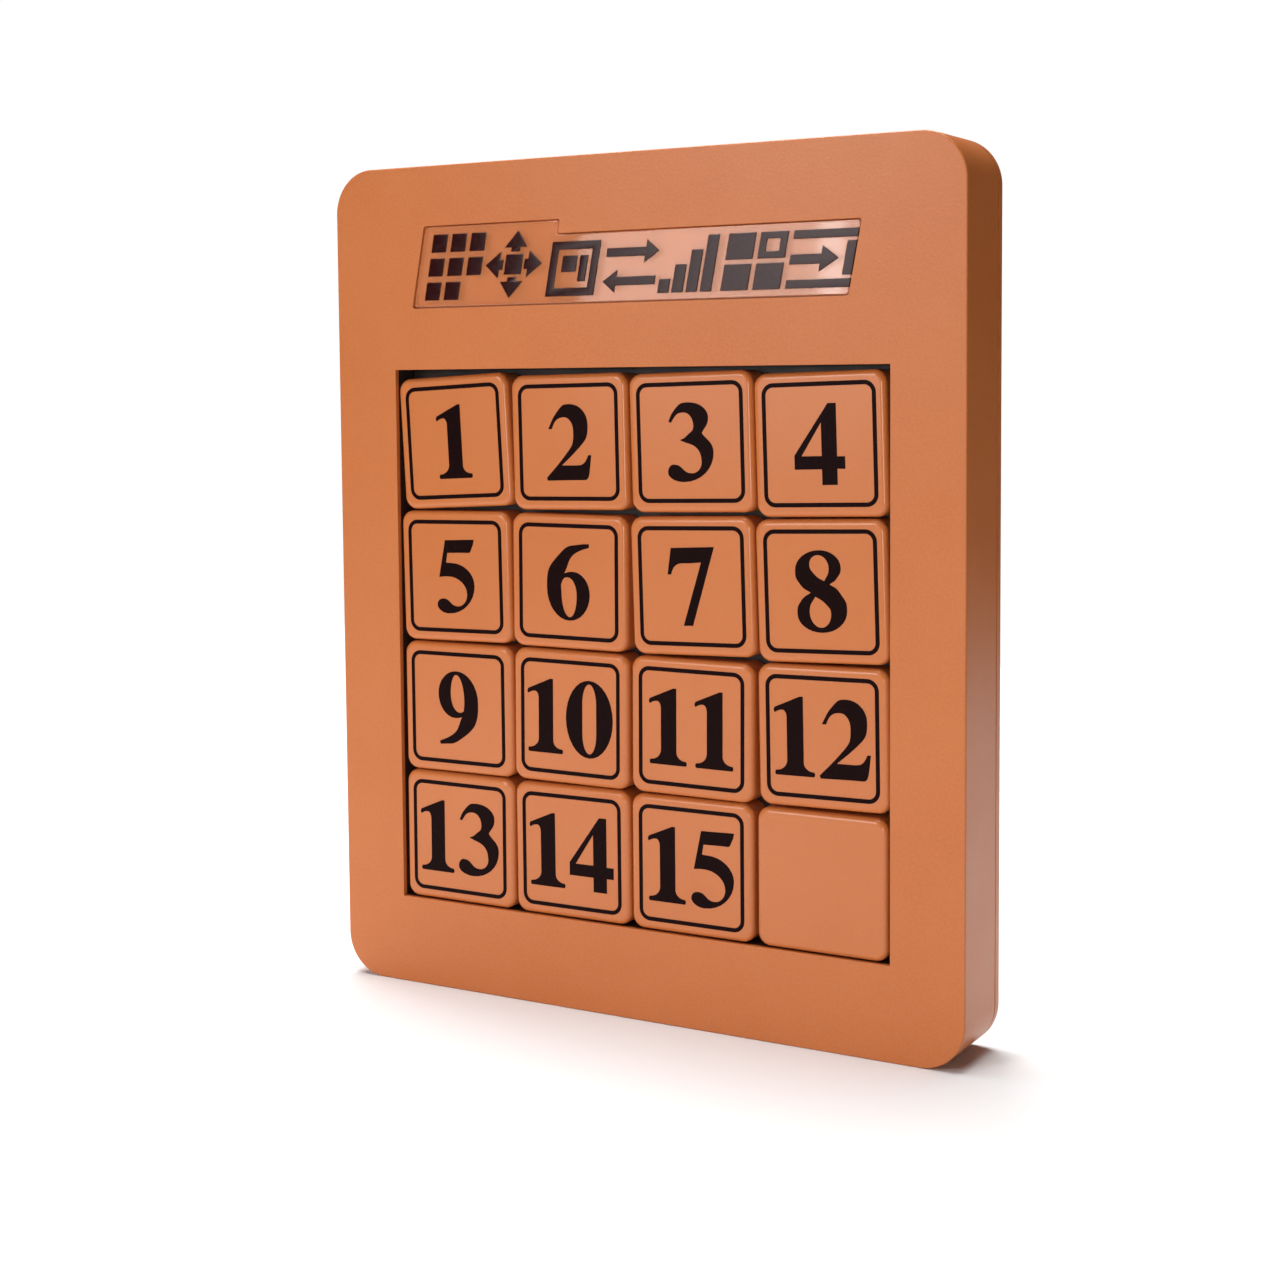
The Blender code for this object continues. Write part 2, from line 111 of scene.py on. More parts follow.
def addPiece(name, mesh, material=None):
    piece = bpy.data.objects.new(name, mesh)
    bpy.context.scene.collection.objects.link(piece)
    if material:
        coat(piece, material)
    return piece


def combine(piece, *steps):
    # each step is (operation, mesh); the tools go once the result is baked into the piece
    tools = []
    for operation, mesh in steps:
        tool = addPiece("tool." + mesh.name, mesh)
        modifier = piece.modifiers.new(mesh.name, "BOOLEAN")
        modifier.operation, modifier.solver, modifier.object = operation, "EXACT", tool
        tools.append(tool)
    bpy.context.view_layer.update()
    graph = bpy.context.evaluated_depsgraph_get()
    mesh = bpy.data.meshes.new_from_object(piece.evaluated_get(graph))
    piece.modifiers.clear()
    piece.data = mesh
    for tool in tools:
        bpy.data.objects.remove(tool, do_unlink=True)


def breakFrontEdges(piece, front, radius, steps, inside):
    # rounds the sharp edges that openings leave in a flat front
    shape = bmesh.new()
    shape.from_mesh(piece.data)
    bmesh.ops.remove_doubles(shape, verts=shape.verts, dist=bodyWeld)
    rim = [e for e in shape.edges if len(e.link_faces) == 2 and e.calc_face_angle() > radians(80)
           and all(abs(v.co.y - front) < flush and inside(v.co) for v in e.verts)]
    rounded(shape, rim, radius, steps)
    shape.to_mesh(piece.data)
    shape.free()


def smoothShade(mesh, angle=32):
    mesh.shade_smooth()
    mesh.set_sharp_from_angle(angle=radians(angle))


def keepFlatsFlat(piece):
    # large faces decide the shading at their rims, so that only the rounded edges look round
    weighting = piece.modifiers.new("keep flats flat", "WEIGHTED_NORMAL")
    weighting.keep_sharp, weighting.weight = True, 80


def tangentAt(points, index):
    # the way a curve runs through one of its points
    kind = points[index][2]
    before, after = Vector(points[index - 1][:2]), Vector(points[(index + 1) % len(points)][:2])
    run = after - before
    if kind == "h":
        return Vector((1 if run.x > 0 else -1, 0))
    if kind == "v":
        return Vector((0, 1 if run.y > 0 else -1))
    if kind == "a":
        return run.normalized()
    return Vector((cos(radians(kind)), cos(radians(kind - 90))))


def flatShape(name, loops, front, thickness, bevel=0, turn=0, centre=(0, 0), steps=8):
    # closed outlines, each a list of (x, z, tangent), filled and given a thickness from front to back
    curve = bpy.data.curves.new(name, "CURVE")
    curve.dimensions, curve.fill_mode = "2D", "BOTH"
    curve.resolution_u = steps
    curve.extrude = thickness / 2 - bevel
    curve.bevel_depth, curve.offset, curve.bevel_resolution = bevel, -bevel, 1
    for points in loops:
        spline = curve.splines.new("BEZIER")
        spline.bezier_points.add(len(points) - 1)
        spline.use_cyclic_u = True
        for index, knot in enumerate(spline.bezier_points):
            here = Vector(points[index][:2])
            knot.handle_left_type = knot.handle_right_type = "FREE"
            knot.co = (*here, 0)
            ends = []
            for other, sign in ((points[index - 1], -1), (points[(index + 1) % len(points)], 1)):
                chord = Vector(other[:2]) - here
                if points[index][2] == "c":
                    ends.append(here + chord / 3)
                else:
                    along = tangentAt(points, index)
                    reach = max(abs(chord.dot(along)) * handleReach, chord.length * leastHandle)
                    ends.append(here + along * sign * reach)
            knot.handle_left, knot.handle_right = (*ends[0], 0), (*ends[1], 0)
    guide = addPiece("guide." + name, curve)
    bpy.context.view_layer.update()
    mesh = bpy.data.meshes.new_from_object(guide.evaluated_get(bpy.context.evaluated_depsgraph_get()))
    bpy.data.objects.remove(guide, do_unlink=True)
    shape = bmesh.new()
    shape.from_mesh(mesh)
    bmesh.ops.remove_doubles(shape, verts=shape.verts, dist=curveWeld)
    bmesh.ops.rotate(shape, cent=(0, 0, 0), matrix=Matrix.Rotation(pi / 2, 3, "X"), verts=shape.verts)
    bmesh.ops.rotate(shape, cent=(0, 0, 0), matrix=Matrix.Rotation(-turn, 3, "Y"), verts=shape.verts)
    bmesh.ops.translate(shape, vec=(centre[0], front + thickness / 2, centre[1]), verts=shape.verts)
    bmesh.ops.recalc_face_normals(shape, faces=shape.faces)
    shape.to_mesh(mesh)
    shape.free()
    mesh.name = name
    smoothShade(mesh, 40)
    return mesh


def roundedSquare(side, radius):
    # eight points on a square's outline: where each side ends and its corner arc starts
    half, flat = side / 2, side / 2 - radius
    return [(-flat, half, "h"), (flat, half, "h"), (half, flat, "v"), (half, -flat, "v"),
            (flat, -half, "h"), (-flat, -half, "h"), (-half, -flat, "v"), (-half, flat, "v")]


class Wire:
    def __init__(self, tree, socket=None):
        self.tree = tree
        self.socket = socket

    def node(self, kind, settings=None, sockets=None, output=0):
        made = self.tree.nodes.new("ShaderNode" + kind)
        for name, value in (settings or {}).items():
            setattr(made, name, value)
        for name, value in (sockets or {}).items():
            if isinstance(value, Wire):
                self.tree.links.new(value.socket, made.inputs[name])
            else:
                made.inputs[name].default_value = value
        return Wire(self.tree, made.outputs[output] if made.outputs else None)

    def math(self, operation, first, second):
        return self.node("Math", {"operation": operation}, {0: first, 1: second})

    def __add__(self, other):
        return self.math("ADD", self, other)

    __radd__ = __add__

    def __sub__(self, other):
        return self.math("SUBTRACT", self, other)

    def __rsub__(self, other):
        return self.math("SUBTRACT", other, self)

    def __mul__(self, other):
        return self.math("MULTIPLY", self, other)

    __rmul__ = __mul__

    def between(self, low, high):
        # 0 below low and 1 above high, eased
        return self.node("MapRange", {"interpolation_type": "SMOOTHSTEP"},
                         {"Value": self, "From Min": low, "From Max": high})

    def blend(self, first, second):
        # a colour between two, with this as the share of the second
        return self.node("Mix", {"data_type": "RGBA"}, {0: self, 6: first, 7: second}, 2)

    def noise(self, where, size, detail=2.0, roughness=0.5):
        # size is that of one feature, in metres
        return self.node("TexNoise", {}, {"Vector": where, "Scale": 1 / size, "Detail": detail,
                                          "Roughness": roughness})


def newMaterial(name):
    material = bpy.data.materials.new(name)
    material.use_nodes = True
    material.node_tree.nodes.clear()
    return material, Wire(material.node_tree)


def putOut(wire, surface):
    wire.node("OutputMaterial", {}, {"Surface": surface})


def mouldedPlastic(name, look):
    # coloured plastic with the grain that the mould left, faint flow clouds and handling marks
    material, wire = newMaterial(name)
    where = wire.node("TexCoord", output=3)
    grain = wire.noise(where, look["grainSize"], 3.0, 0.6)
    pits = wire.node("TexVoronoi", {"feature": "SMOOTH_F1"},
                     {"Vector": where, "Scale": 1 / look["pitSize"], "Smoothness": 0.6})
    clouds = wire.noise(where, look["cloudSize"], 4.0, 0.55).between(0.3, 0.7)
    rubbed = wire.noise(where, look["rubSize"], 5.0, 0.65).between(0.45, 0.75)
    tone = clouds.blend((*look["colour"], 1), (*look["cloudColour"], 1))
    speck = grain.between(0.35, 0.68)
    tone = (speck * look["speckShare"]).blend(tone, (*look["speckColour"], 1))
    height = grain * 0.65 + pits * 0.35
    bump = wire.node("Bump", {}, {"Height": height, "Strength": look["bump"],
                                  "Distance": look["grainDepth"]})
    shine = look["roughness"] + (grain - 0.5) * look["roughnessSwing"] - rubbed * look["rubShine"]
    putOut(wire, wire.node("BsdfPrincipled", {}, {
        "Base Color": tone, "Roughness": shine, "Normal": bump, "IOR": look["ior"],
        "Specular IOR Level": look["gloss"]}))
    return material


housingLook = {
    "colour": (0.510, 0.136, 0.029), "cloudColour": (0.530, 0.150, 0.036),
    "speckColour": (0.62, 0.21, 0.070), "speckShare": 0.22,
    "grainSize": 0.42 * mm, "pitSize": 0.55 * mm, "grainDepth": 0.045 * mm, "bump": 0.6,
    "cloudSize": 26 * mm, "rubSize": 14 * mm, "rubShine": 0.05,
    "roughness": 0.36, "roughnessSwing": 0.14, "ior": 1.5, "gloss": 0.42,
}
tileLook = {
    "colour": (0.530, 0.146, 0.034), "cloudColour": (0.540, 0.156, 0.040),
    "speckColour": (0.68, 0.30, 0.15), "speckShare": 0.08,
    "grainSize": 0.30 * mm, "pitSize": 0.5 * mm, "grainDepth": 0.018 * mm, "bump": 0.4,
    "cloudSize": 30 * mm, "rubSize": 8 * mm, "rubShine": 0.015,
    "roughness": 0.25, "roughnessSwing": 0.05, "ior": 1.5, "gloss": 0.46,
}
tileBackLook = dict(tileLook, grainDepth=0.03 * mm, roughness=0.5, bump=0.6)

housingPlastic = mouldedPlastic("sparkErodedOrange", housingLook)
tilePlastic = mouldedPlastic("satinOrange", tileLook)
tileBackPlastic = mouldedPlastic("plainMouldedOrange", tileBackLook)


def printedInk(name, colour, thinColour, roughness, gloss):
    # pad-printed ink: nearly even, thinner and browner in small spots
    material, wire = newMaterial(name)
    where = wire.node("TexCoord", output=3)
    thin = wire.noise(where, 0.8 * mm, 4.0, 0.6)
    skin = wire.noise(where, 0.15 * mm, 2.0, 0.5)
    bump = wire.node("Bump", {}, {"Height": skin, "Strength": 0.3, "Distance": 0.006 * mm})
    putOut(wire, wire.node("BsdfPrincipled", {}, {
        "Base Color": thin.between(0.5, 0.8).blend((*colour, 1), (*thinColour, 1)),
        "Roughness": roughness + (thin - 0.5) * 0.15, "Specular IOR Level": gloss, "Normal": bump}))
    return material


tileInk = printedInk("tileInk", (0.007, 0.0009, 0.0008), (0.016, 0.0025, 0.0025), 0.34, 0.05)
plaqueInk = printedInk("plaqueInk", (0.022, 0.0022, 0.0022), (0.040, 0.006, 0.006), 0.16, 0.28)


def rolledMetal(name, look):
    # fine lines from rolling or plating, broken by duller spots
    material, wire = newMaterial(name)
    where = wire.node("TexCoord", output=3)
    stretched = wire.node("Mapping", {}, {"Vector": where, "Scale": look["stretch"]})
    lines = wire.noise(stretched, look["lineSize"], 4.0, 0.6)
    dull = wire.noise(where, look["dullSize"], 4.0, 0.6).between(0.4, 0.7)
    bump = wire.node("Bump", {}, {"Height": lines, "Strength": 0.4, "Distance": 0.01 * mm})
    putOut(wire, wire.node("BsdfPrincipled", {}, {
        "Base Color": dull.blend((*look["colour"], 1), (*look["dullColour"], 1)), "Metallic": 1.0,
        "Roughness": look["roughness"] + (lines - 0.5) * 0.2 + dull * 0.12, "Normal": bump}))
    return material


plateSteel = rolledMetal("plateSteel", {
    "stretch": (0.05, 1, 1), "lineSize": 0.2 * mm, "dullSize": 12 * mm,
    "colour": (0.56, 0.56, 0.57), "dullColour": (0.44, 0.43, 0.42), "roughness": 0.32})
screwZinc = rolledMetal("screwZinc", {
    "stretch": (1, 0.3, 1), "lineSize": 0.25 * mm, "dullSize": 0.9 * mm,
    "colour": (0.42, 0.42, 0.44), "dullColour": (0.26, 0.26, 0.27), "roughness": 0.34})
magnetNickel = rolledMetal("magnetNickel", {
    "stretch": (1, 1, 1), "lineSize": 0.4 * mm, "dullSize": 2.5 * mm,
    "colour": (0.68, 0.66, 0.63), "dullColour": (0.58, 0.56, 0.53), "roughness": 0.16})


def darkSheet(look):
    # the sliding sheet under the tiles, polished in streaks where they run
    material, wire = newMaterial("darkSlidingSheet")
    where = wire.node("TexCoord", output=3)
    stretched = wire.node("Mapping", {}, {"Vector": where, "Scale": look["streakShape"]})
    streaks = wire.noise(stretched, look["streakSize"], 4.0)
    skin = wire.noise(where, look["skinSize"], 2.0)
    bump = wire.node("Bump", {}, {"Height": skin, "Strength": 0.35, "Distance": look["skinDepth"]})
    putOut(wire, wire.node("BsdfPrincipled", {}, {
        "Base Color": streaks.between(0.3, 0.75).blend((*look["colour"], 1), (*look["wornColour"], 1)),
        "Roughness": look["roughness"] - streaks * look["polish"], "Normal": bump}))
    return material


def clearAcrylic(look):
    # clear plate seen over its orange pocket: mostly see-through, with a hard clear coat; its orange base
    # colour is the pocket's colour brightened as painted light, making up for the shade the plate casts on
    # the pocket
    material, wire = newMaterial("clearAcrylic")
    where = wire.node("TexCoord", output=3)
    wave = wire.noise(where, look["waveSize"], 2.0)
    wiped = wire.node("Mapping", {}, {"Vector": where, "Rotation": look["scuffTurn"],
                                      "Scale": look["scuffShape"]})
    scuffs = wire.noise(wiped, look["scuffSize"], 3.0).between(0.6, 0.9)
    bump = wire.node("Bump", {}, {"Height": wave, "Strength": 0.2, "Distance": look["waveDepth"]})
    putOut(wire, wire.node("BsdfPrincipled", {}, {
        "Base Color": (*look["pocketColourWithPaintedLight"], 1), "Roughness": look["roughness"] + scuffs * look["scuffDulling"],
        "IOR": look["ior"], "Specular IOR Level": look["gloss"], "Coat Weight": 1.0,
        "Coat Roughness": look["coatRoughness"], "Alpha": look["alpha"], "Normal": bump}))
    return material


sheetLook = {
    "colour": (0.020, 0.010, 0.008), "wornColour": (0.034, 0.018, 0.014),
    "streakSize": 0.5 * mm, "streakShape": (0.08, 1, 1), "skinSize": 0.25 * mm,
    "skinDepth": 0.01 * mm, "roughness": 0.5, "polish": 0.2,
}
acrylicLook = {
    # the plate's orange is painted light: the pocket's colour, brighter than the shaded pocket behind the
    # plate
    "pocketColourWithPaintedLight": (0.88, 0.31, 0.12), "alpha": 0.42, "ior": 1.49, "gloss": 0.9,
    "roughness": 0.05, "coatRoughness": 0.03, "waveSize": 9 * mm, "waveDepth": 0.02 * mm,
    "scuffSize": 0.12 * mm, "scuffShape": (0.1, 1, 1), "scuffTurn": (0, 0.5, 0), "scuffDulling": 0.1,
}

slidingSheet = darkSheet(sheetLook)
acrylic = clearAcrylic(acrylicLook)
print("materials made")


bodyLow, bodyHigh = cadBox
bodyFront = bodyLow.y
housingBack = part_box("front_housing")[1].y
coverFront = housingBack + fitGap
floorLow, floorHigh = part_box("tray_floor")
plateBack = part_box("steel_plate")[1].y
plaqueLow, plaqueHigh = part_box("title_plaque")
screwNames = [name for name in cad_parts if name.startswith("cover_screw_")]
screwPlaces = []
for name in sorted(screwNames):
    screwLow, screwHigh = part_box(name)
    screwPlaces.append(((screwLow.x + screwHigh.x) / 2, (screwLow.z + screwHigh.z) / 2))
screwTip, screwHeadBack = screwLow.y, screwHigh.y    # the same for all six


def grown(low, high, margin, front, back):
    return (low.x - margin, front, low.z - margin), (high.x + margin, back, high.z + margin)


plaque = {
    "width": 82 * mm, "tallWidth": 27.2 * mm, "tallHeight": 13.65 * mm, "lowHeight": 11.3 * mm,
    "slant": radians(10.9), "corner": 0.3 * mm, "clearance": 0.2 * mm, "edge": 0.14 * mm,
    "pocketDepth": 1.5 * mm,
}
lean = tan(plaque["slant"])
plaqueX = (plaqueLow.x + plaqueHigh.x - lean * plaque["lowHeight"]) / 2


def plaqueOutline(grow):
    # corners of the stepped, slanted plate, each cut back by a small arc
    side = grow / cos(plaque["slant"])
    left, right = -plaque["width"] / 2 - side, plaque["width"] / 2 + side
    step = -plaque["width"] / 2 + plaque["tallWidth"] + side
    low, high, bottom = plaque["lowHeight"] + grow, plaque["tallHeight"] + grow, -grow
    corners = [Vector((x + lean * z, z)) for x, z in (
        (left, bottom), (right, bottom), (right, low), (step, low), (step, high), (left, high))]
    points = []
    for index, corner in enumerate(corners):
        before = (corners[index - 1] - corner).normalized()
        after = (corners[(index + 1) % 6] - corner).normalized()
        for spot in (corner + before * plaque["corner"], corner + after * plaque["corner"]):
            points.append((spot.x, spot.y, "c"))
    return points


housing = {
    "corner": 7.5 * mm, "edgeBreak": 0.32 * mm, "openingEdge": 0.26 * mm, "sideWall": 2.2 * mm,
    "bezel": 2.5 * mm, "sleeveWall": 1.2 * mm, "windowInset": 1.2 * mm, "postRadius": 3.5 * mm,
    "pilotRadius": 1.35 * mm, "pilotRoom": 0.8 * mm, "postGap": 2.3 * mm,
    # depth, wall and skin of the dark liner, a sheet of painted shade on the opening's walls
    "shadeLinerDepth": 0.9 * mm, "shadeLinerWall": 0.3 * mm, "shadeLinerSkin": 0.04 * mm,
    "sideMargin": 10 * mm, "topMargin": 5 * mm,    # every opening lies further in than these
}


def makeHousing():
    wall, root = housing["sideWall"], bodyFront + housing["bezel"] / 2
    shell = addPiece("housing_shell", roundedBlock(
        "housing_shell", bodyLow, (bodyHigh.x, housingBack, bodyHigh.z),
        housing["corner"], 20, housing["edgeBreak"], 3))
    back = housingBack + overcut
    hollow = roundedBlock("hollow", (bodyLow.x + wall, bodyFront + housing["bezel"], bodyLow.z + wall),
                          (bodyHigh.x - wall, back, bodyHigh.z - wall), housing["corner"] - wall, 12)
    sleeve = roundedBlock("sleeve", *grown(floorLow, floorHigh, fitGap + housing["sleeveWall"],
                                           root, plateBack))
    steps = [("DIFFERENCE", hollow), ("UNION", sleeve)]
    postBack = coverFront - housing["postGap"]
    for x, z in screwPlaces:
        steps.append(("UNION", turnedPost("post", x, z, housing["postRadius"], root, postBack)))
        steps.append(("DIFFERENCE", turnedPost("pilot", x, z, housing["pilotRadius"],
                                               screwTip - housing["pilotRoom"], postBack + overcut)))
    front = bodyFront - overcut
    steps.append(("DIFFERENCE", roundedBlock(
        "window", *grown(floorLow, floorHigh, -housing["windowInset"], front, back))))
    # room for the dark liner, a sheet of painted shade on the opening's walls behind the rim
    shadeLinerMargin = housing["shadeLinerWall"] - housing["windowInset"]
    steps.append(("DIFFERENCE", roundedBlock(
        "shadeLinerRoom", *grown(floorLow, floorHigh, shadeLinerMargin, bodyFront + housing["shadeLinerDepth"], back))))
    steps.append(("DIFFERENCE", roundedBlock(
        "seat", *grown(floorLow, floorHigh, fitGap, floorLow.y - fitGap, back))))
    pocket = flatShape("pocket", [plaqueOutline(plaque["clearance"])], front,
                       plaque["pocketDepth"] + overcut, centre=(plaqueX, plaqueLow.z))
    steps.append(("DIFFERENCE", pocket))
    combine(shell, *steps)
    side, top = housing["sideMargin"], housing["topMargin"]

    def inOpening(point):
        return abs(point.x) < bodyHigh.x - side and side < point.z < bodyHigh.z - top

    breakFrontEdges(shell, bodyFront, housing["openingEdge"], 2, inOpening)
    smoothShade(shell.data)
    coat(shell, housingPlastic)
    keepFlatsFlat(shell)
    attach(shell, "case")
    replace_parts(shell, "front_housing")


makeHousing()


def makeShadeLiner():
    # a dark sheet over the walls of the opening, behind its thin orange rim: painted shade, standing in for
    # the shade deep in the opening
    skin, inset = housing["shadeLinerSkin"], housing["windowInset"]
    front, back = bodyFront + housing["shadeLinerDepth"] + skin, floorLow.y - fitGap - skin
    liner = addPiece("shade_liner", roundedBlock("shade_liner", *grown(
        floorLow, floorHigh, housing["shadeLinerWall"] - inset - skin, front, back)))
    combine(liner, ("DIFFERENCE", roundedBlock("shadeLinerBore", *grown(
        floorLow, floorHigh, -inset, front - overcut, back + overcut))))
    # the sliding sheet's dark colour, used here as painted shade on the opening's walls
    coat(liner, slidingSheet)
    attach(liner, "case")


makeShadeLiner()
print("front housing and liner made")


cover = {
    "corner": 7.5 * mm, "backEdge": 0.3 * mm, "lipWall": 1.2 * mm, "lipHeight": 1.6 * mm,
    "ribWall": 1.2 * mm, "ribInset": 12.8 * mm, "padHeight": 2.0 * mm, "padRadius": 3.5 * mm,
    "shankHole": 1.5 * mm, "headHole": 2.7 * mm, "headHeight": 1.7 * mm,
}


def ringSteps(name, low, high, corner, wall, front):
    # a square tube standing on the inside of the cover
    middle = (coverFront + bodyHigh.y) / 2
    outer = addPiece(name, roundedBlock(name, *grown(low, high, 0, front, middle), corner, 8))
    combine(outer, ("DIFFERENCE", roundedBlock(
        name + "Inside", *grown(low, high, -wall, front - overcut, middle + overcut),
        max(corner - wall, 0), 8)))
    mesh = outer.data
    bpy.data.objects.remove(outer, do_unlink=True)
    return "UNION", mesh


def makeCover():
    # the plate is made facing forward and then turned, so that its rounded edge is at the back
    plate = roundedBlock("cover_plate", (bodyLow.x, -bodyHigh.y, bodyLow.z),
                         (bodyHigh.x, -coverFront, bodyHigh.z), cover["corner"], 20, cover["backEdge"], 3)
    plate.transform(Matrix.Scale(-1, 4, (0, 1, 0)))
    plate.flip_normals()
    panel = addPiece("cover_panel", plate)
    inset = housing["sideWall"] + fitGap
    lipFront = coverFront - cover["lipHeight"]
    lip = ringSteps("lip", bodyLow + Vector((inset, 0, inset)), bodyHigh - Vector((inset, 0, inset)),
                    cover["corner"] - inset, cover["lipWall"], lipFront)
    reach = Vector((cover["ribInset"], 0, cover["ribInset"]))
    ribLow, ribHigh, ribFront = floorLow + reach, floorHigh - reach, plateBack + fitGap
    ribs = ringSteps("ribs", ribLow, ribHigh, 0, cover["ribWall"], ribFront)
    middle, half = (coverFront + bodyHigh.y) / 2, cover["ribWall"] / 2
    centreZ = (floorLow.z + floorHigh.z) / 2
    crossRib = roundedBlock("crossRib", (ribLow.x + half, ribFront, centreZ - half),
                            (ribHigh.x - half, middle, centreZ + half))
    steps = [lip, ribs, ("UNION", crossRib)]
    padFront = coverFront - cover["padHeight"]
    for x, z in screwPlaces:
        pad = addPiece("pad", turnedPost("pad", x, z, cover["padRadius"], padFront, middle))
        combine(pad, ("INTERSECT", roundedBlock(
            "room", (bodyLow.x + inset, bodyFront, bodyLow.z + inset),
            (bodyHigh.x - inset, bodyHigh.y, bodyHigh.z - inset), cover["corner"] - inset, 8)))
        steps.append(("UNION", pad.data))
        bpy.data.objects.remove(pad, do_unlink=True)
        back = bodyHigh.y + overcut
        steps.append(("DIFFERENCE", turnedPost("shankHole", x, z, cover["shankHole"],
                                               padFront - overcut, back)))
        steps.append(("DIFFERENCE", turnedPost("headHole", x, z, cover["headHole"],
                                               screwHeadBack - cover["headHeight"], back)))
    combine(panel, *steps)
    smoothShade(panel.data)
    coat(panel, housingPlastic)
    keepFlatsFlat(panel)
    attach(panel, "case")
    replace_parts(panel, "back_cover")


makeCover()
print("back cover made")


screw = {"headRadius": 2.4 * mm, "headHeight": 1.4 * mm, "radius": 1.2 * mm, "length": 6.5 * mm,
         "slotWidth": 0.7 * mm, "slotLength": 2.6 * mm, "slotDepth": 0.8 * mm,
         "threadPitch": 0.9 * mm, "threadDepth": 0.18 * mm, "sides": 32,
         # where the root ends, the crest stands and the next root starts, in pitches
         "threadShares": (0.45, 0.7, 0.95),
         # the head from its middle outwards, in shares of its radius and height
         "headOutline": [(0, 0), (0.55, 0), (0.82, -0.08), (0.95, -0.25), (1, -0.45), (1, -0.94), (0.97, -1)]}


def makeScrew(name, x, z, turn):
    head, shank = screw["headHeight"], screw["radius"]
    points = [(radius * screw["headRadius"], 0, height * head) for radius, height in screw["headOutline"]]
    pitch, root = screw["threadPitch"], shank - screw["threadDepth"]
    rootEnd, crest, nextRoot = (share * pitch for share in screw["threadShares"])
    for thread in range(int((screw["length"] - 2 * shank) / pitch)):
        top = -head - thread * pitch
        points += [(root, 0, top), (root, 0, top - rootEnd), (shank, 0, top - crest),
                   (root, 0, top - nextRoot)]
    points.append((0, 0, -head - screw["length"]))
    profile = bpy.data.meshes.new(name)
    profile.from_pydata(points, [(i, i + 1) for i in range(len(points) - 1)], [])
    piece = addPiece(name, profile)
    lathe = piece.modifiers.new("lathe", "SCREW")
    lathe.steps = lathe.render_steps = screw["sides"]
    lathe.use_merge_vertices, lathe.merge_threshold = True, flush
    half, deep = screw["slotLength"] / 2, screw["slotDepth"]
    wide = screw["slotWidth"] / 2
    combine(piece,
            ("DIFFERENCE", roundedBlock("slotA", (-half, -wide, -deep), (half, wide, overcut))),
            ("DIFFERENCE", roundedBlock("slotB", (-wide, -half, -deep), (wide, half, overcut))))
    # stand the screw on its axis along the depth, with its head at the back
    piece.data.transform(Matrix.Translation((x, screwHeadBack, z)) @ Matrix.Rotation(turn, 4, "Y")
                         @ Matrix.Rotation(-pi / 2, 4, "X"))
    smoothShade(piece.data)
    coat(piece, screwZinc)
    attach(piece, "case")
    return piece


for number, (x, z) in enumerate(screwPlaces, 1):
    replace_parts(makeScrew(f"screw_{number}", x, z, 0.7 * number), f"cover_screw_{number}")
print("cover screws made")


def makePlaque():
    mesh = flatShape("clear_plaque", [plaqueOutline(0)], plaqueLow.y, plaqueHigh.y - plaqueLow.y,
                     bevel=plaque["edge"], centre=(plaqueX, plaqueLow.z))
    piece = addPiece("clear_plaque", mesh, acrylic)
    keepFlatsFlat(piece)
    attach(piece, "case")
    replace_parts(piece, "title_plaque")


makePlaque()

marks = {
    "bottom": 1.1 * mm, "tall": 11.2 * mm, "low": 9.0 * mm, "thickness": 0.34 * mm, "edge": 0.10 * mm,
    "sunk": 0.15 * mm,
    "arrowShaft": 0.36, "arrowHead": 0.95, "arrowPoint": 0.62,    # the point is a share of the head
}


def bar(x, z, wide, high):
    return [(x, z, "c"), (x + wide, z, "c"), (x + wide, z + high, "c"), (x, z + high, "c")]


def hollowBox(x, z, side, line):
    return [bar(x, z, side, side), bar(x + line, z + line, side - 2 * line, side - 2 * line)]


def arrow(x, z, length, width, turns):
    # a block arrow that points right, turned in quarter turns about its middle
    shaft, head = width * marks["arrowShaft"], width * marks["arrowHead"]
    neck = length - head * marks["arrowPoint"]
    points = [(0, width / 2 - shaft / 2), (neck, width / 2 - shaft / 2), (neck, width / 2 - head / 2),
              (length, width / 2), (neck, width / 2 + head / 2), (neck, width / 2 + shaft / 2),
              (0, width / 2 + shaft / 2)]
    middle = Vector((length / 2, width / 2))
    spin = Matrix.Rotation(turns * pi / 2, 2)
    spots = [middle + spin @ (Vector(point) - middle) for point in points]
    return [(x + spot.x, z + spot.y, "c") for spot in spots]


def gridOfTiles(count, side, gap, empty):
    size = (side - (count - 1) * gap) / count
    step = size + gap
    return [bar(column * step, row * step, size, size)
            for row in range(count) for column in range(count) if (column, row) not in empty]


# (name, start along the plaque and width in mm, tall or low, outlines in tenths of width and height)
markDrawings = [
    ("tile_grid", -40.4, 10.9, "tall", gridOfTiles(3, 10, 0.9, [(2, 0)])),
    ("arrows_out", -28.7, 11.3, "tall", [
        bar(3.5, 3.5, 3, 3), arrow(6.9, 2.9, 3.1, 4.2, 0), arrow(3.45, 6.35, 3.1, 4.2, 1),
        arrow(0, 2.9, 3.1, 4.2, 2), arrow(3.45, -0.55, 3.1, 4.2, 3)]),
    ("boxed_tile", -15.8, 9.4, "low", hollowBox(0, 0, 10, 1.5) + [
        bar(2.6, 4.4, 3, 3), bar(6.2, 2.6, 1.6, 4.8)]),
    ("swap", -5.0, 9.9, "low", [arrow(0, 5.4, 10, 4.4, 0), arrow(0, 0.2, 10, 4.4, 2)]),
    ("steps", 5.7, 9.8, "low", [bar(2.65 * step, 0, 2.1, 2.5 * (step + 1)) for step in range(4)]),
    ("four_tiles", 17.2, 10.5, "low", hollowBox(5.4, 5.4, 4.6, 1.2) + gridOfTiles(2, 10, 0.8, [(1, 1)])),
    ("slide_in", 28.6, 11.0, "low", [bar(0, 8.5, 10, 1.5), bar(0, 0, 10, 1.5), bar(8.5, 2.1, 1.5, 5.8),
                                     arrow(0, 2.6, 7.6, 4.8, 0)]),
]


